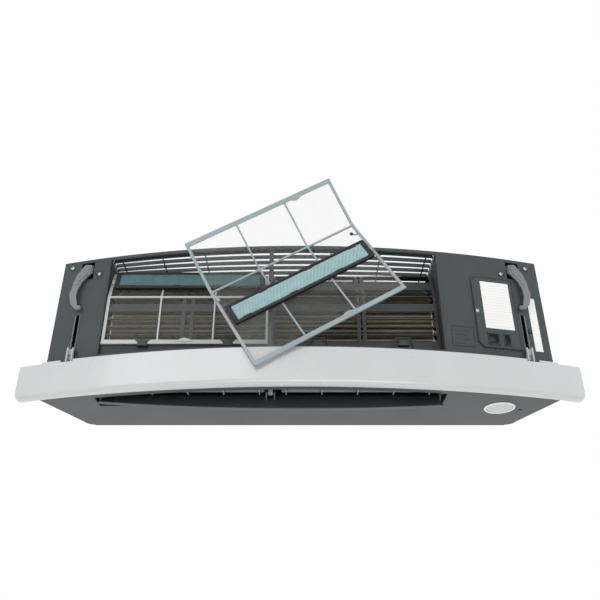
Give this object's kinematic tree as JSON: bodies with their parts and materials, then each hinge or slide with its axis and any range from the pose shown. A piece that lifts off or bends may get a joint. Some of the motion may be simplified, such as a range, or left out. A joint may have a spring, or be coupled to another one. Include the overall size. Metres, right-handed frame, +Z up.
{
  "type": "split air conditioner indoor unit",
  "caption": "Wall-hung split air conditioner indoor unit, front panel off: bowed dark casing, silver bar, louver, coil, fan, one filter seated and one laid across the front.",
  "frame": {"origin": "middle of the wall plate's wall face", "axes": "+X to the unit's right seen from the room, along its length; +Y into the wall; +Z up"},
  "size_m": [1.03, 0.254, 0.4413],
  "materials": {
    "casing": "fine moulded grain, dark blue-grey",
    "inner_casing": "plain moulded, near black",
    "trim_bar": "satin silver paint",
    "fins": "thin coated fins",
    "galvanised": "galvanised sheet",
    "copper": "bare copper tube",
    "fan_plastic": "moulded black",
    "steel": "ground bar",
    "rubber": "soft moulded",
    "motor_case": "grey painted case",
    "louver": "dark blue-grey, smooth",
    "light_plastic": "light grey, moulded",
    "arm_plastic": "mid grey acetal",
    "board": "green laminate",
    "terminal": "ivory moulding",
    "label": "white film",
    "screw": "bright zinc",
    "ring": "white gloss",
    "lens": "pale grey-green",
    "filter_frame": "grey polypropylene",
    "filter_mesh": "fine open net",
    "cassette": "black moulding",
    "core": "pale teal honeycomb"
  },
  "bodies": {
    "unit": {"arm_motors": "motor_case", "casing_screws": "screw", "circuit_board": "board", "coil_bends": "copper", "coil_end_plates": "galvanised", "coil_front": "fins", "coil_rear": "fins", "control_box": "inner_casing", "cover_screw": "screw", "display_board": "board", "display_lens": "lens", "display_ring": "ring", "drain_pan": "inner_casing", "drain_spout": "inner_casing", "fan_bearing": "rubber", "fan_motor": "motor_case", "front_bar": "trim_bar", "front_casing": "casing", "gas_pipe": "copper", "info_label": "label", "intake_lattice": "inner_casing", "liquid_pipe": "copper", "louver_bracket": "light_plastic", "louver_motor": "motor_case", "motor_bracket": "galvanised", "rear_casing": "inner_casing", "receiver_window": "fan_plastic", "side_label": "label", "terminal_block": "terminal", "terminal_cover": "casing", "top_grille": "casing", "wall_plate": "galvanised"},
    "fan": {"fan_wheel": "fan_plastic", "fan_shaft": "steel"},
    "louver": {"louver": "louver"},
    "left_filter": {"filter_frame_left": "filter_frame", "filter_mesh_left": "filter_mesh", "cassette_left": "cassette", "cassette_core_left": "core"},
    "right_filter": {"filter_frame_right": "filter_frame", "filter_mesh_right": "filter_mesh", "cassette_right": "cassette", "cassette_core_right": "core"},
    "run_button": {"run_button": "fan_plastic"},
    "vane_left_1": {"vane_left_1": "light_plastic"},
    "vane_left_2": {"vane_left_2": "light_plastic"},
    "vane_left_3": {"vane_left_3": "light_plastic"},
    "vane_left_4": {"vane_left_4": "light_plastic"},
    "vane_left_5": {"vane_left_5": "light_plastic"},
    "vane_rod_left": {"vane_rod_left": "light_plastic"},
    "vane_right_1": {"vane_right_1": "light_plastic"},
    "vane_right_2": {"vane_right_2": "light_plastic"},
    "vane_right_3": {"vane_right_3": "light_plastic"},
    "vane_right_4": {"vane_right_4": "light_plastic"},
    "vane_right_5": {"vane_right_5": "light_plastic"},
    "vane_rod_right": {"vane_rod_right": "light_plastic"},
    "panel_arm_right": {"panel_arm_right": "arm_plastic"},
    "panel_hook_right": {"panel_hook_right": "arm_plastic"},
    "panel_arm_left": {"panel_arm_left": "arm_plastic"},
    "panel_hook_left": {"panel_hook_left": "arm_plastic"}
  },
  "joints": [
    {"name": "fan_spin", "type": "hinge", "parent": "unit", "child": "fan", "pos_m": [-0.054, -0.078, -0.005], "axis": [1, 0, 0], "continuous": true},
    {"name": "louver_swing", "type": "hinge", "parent": "unit", "child": "louver", "pos_m": [-0.054, -0.131, -0.128], "axis": [1, 0, 0], "range_deg": [-45, 20]},
    {"name": "left_filter_pull", "type": "slide", "parent": "unit", "child": "left_filter", "axis": [0, -1, 0], "range_m": [0, 0.035]},
    {"name": "right_filter_lift", "type": "slide", "parent": "unit", "child": "right_filter", "axis": [0, -1, 0], "range_m": [0, 0.15]},
    {"name": "run_button_press", "type": "slide", "parent": "unit", "child": "run_button", "axis": [0, 1, 0], "range_m": [0, 0.0013], "stiffness_N_per_m": 400},
    {"name": "vane_left_1_turn", "type": "hinge", "parent": "unit", "child": "vane_left_1", "pos_m": [-0.331, -0.153, -0.113], "axis": [0, 0, 1], "range_deg": [-30, 30]},
    {"name": "vane_left_2_turn", "type": "hinge", "parent": "unit", "child": "vane_left_2", "pos_m": [-0.2665, -0.153, -0.113], "axis": [0, 0, 1], "range_deg": [-30, 30]},
    {"name": "vane_left_3_turn", "type": "hinge", "parent": "unit", "child": "vane_left_3", "pos_m": [-0.202, -0.153, -0.113], "axis": [0, 0, 1], "range_deg": [-30, 30]},
    {"name": "vane_left_4_turn", "type": "hinge", "parent": "unit", "child": "vane_left_4", "pos_m": [-0.1375, -0.153, -0.113], "axis": [0, 0, 1], "range_deg": [-30, 30]},
    {"name": "vane_left_5_turn", "type": "hinge", "parent": "unit", "child": "vane_left_5", "pos_m": [-0.073, -0.153, -0.113], "axis": [0, 0, 1], "range_deg": [-30, 30]},
    {"name": "vane_rod_left_slide", "type": "slide", "parent": "unit", "child": "vane_rod_left", "axis": [1, 0, 0], "range_m": [-0.0085, 0.0085]},
    {"name": "vane_right_1_turn", "type": "hinge", "parent": "unit", "child": "vane_right_1", "pos_m": [-0.025, -0.153, -0.113], "axis": [0, 0, 1], "range_deg": [-30, 30]},
    {"name": "vane_right_2_turn", "type": "hinge", "parent": "unit", "child": "vane_right_2", "pos_m": [0.0395, -0.153, -0.113], "axis": [0, 0, 1], "range_deg": [-30, 30]},
    {"name": "vane_right_3_turn", "type": "hinge", "parent": "unit", "child": "vane_right_3", "pos_m": [0.104, -0.153, -0.113], "axis": [0, 0, 1], "range_deg": [-30, 30]},
    {"name": "vane_right_4_turn", "type": "hinge", "parent": "unit", "child": "vane_right_4", "pos_m": [0.1685, -0.153, -0.113], "axis": [0, 0, 1], "range_deg": [-30, 30]},
    {"name": "vane_right_5_turn", "type": "hinge", "parent": "unit", "child": "vane_right_5", "pos_m": [0.233, -0.153, -0.113], "axis": [0, 0, 1], "range_deg": [-30, 30]},
    {"name": "vane_rod_right_slide", "type": "slide", "parent": "unit", "child": "vane_rod_right", "axis": [1, 0, 0], "range_m": [-0.0085, 0.0085]},
    {"name": "panel_arm_right_swing", "type": "hinge", "parent": "unit", "child": "panel_arm_right", "pos_m": [0.416, -0.148, 0.126], "axis": [-1, 0, 0], "range_deg": [0, 35]},
    {"name": "panel_hook_right_slide", "type": "slide", "parent": "unit", "child": "panel_hook_right", "axis": [0, 0, 1], "range_m": [0, 0.06]},
    {"name": "panel_arm_left_swing", "type": "hinge", "parent": "unit", "child": "panel_arm_left", "pos_m": [-0.416, -0.148, 0.126], "axis": [-1, 0, 0], "range_deg": [0, 35]},
    {"name": "panel_hook_left_slide", "type": "slide", "parent": "unit", "child": "panel_hook_left", "axis": [0, 0, 1], "range_m": [0, 0.06]}
  ],
  "couplings": [
    {"joint": "vane_left_2_turn", "follows": "vane_left_1_turn", "ratio": 1},
    {"joint": "vane_left_3_turn", "follows": "vane_left_1_turn", "ratio": 1},
    {"joint": "vane_left_4_turn", "follows": "vane_left_1_turn", "ratio": 1},
    {"joint": "vane_left_5_turn", "follows": "vane_left_1_turn", "ratio": 1},
    {"joint": "vane_rod_left_slide", "follows": "vane_left_1_turn", "m_per_rad": -0.0139},
    {"joint": "vane_right_2_turn", "follows": "vane_right_1_turn", "ratio": 1},
    {"joint": "vane_right_3_turn", "follows": "vane_right_1_turn", "ratio": 1},
    {"joint": "vane_right_4_turn", "follows": "vane_right_1_turn", "ratio": 1},
    {"joint": "vane_right_5_turn", "follows": "vane_right_1_turn", "ratio": 1},
    {"joint": "vane_rod_right_slide", "follows": "vane_right_1_turn", "m_per_rad": -0.0139},
    {"joint": "panel_hook_right_slide", "follows": "panel_arm_right_swing", "m_per_rad": 0.098},
    {"joint": "panel_arm_left_swing", "follows": "panel_arm_right_swing", "ratio": 1},
    {"joint": "panel_hook_left_slide", "follows": "panel_arm_right_swing", "m_per_rad": 0.098}
  ]
}
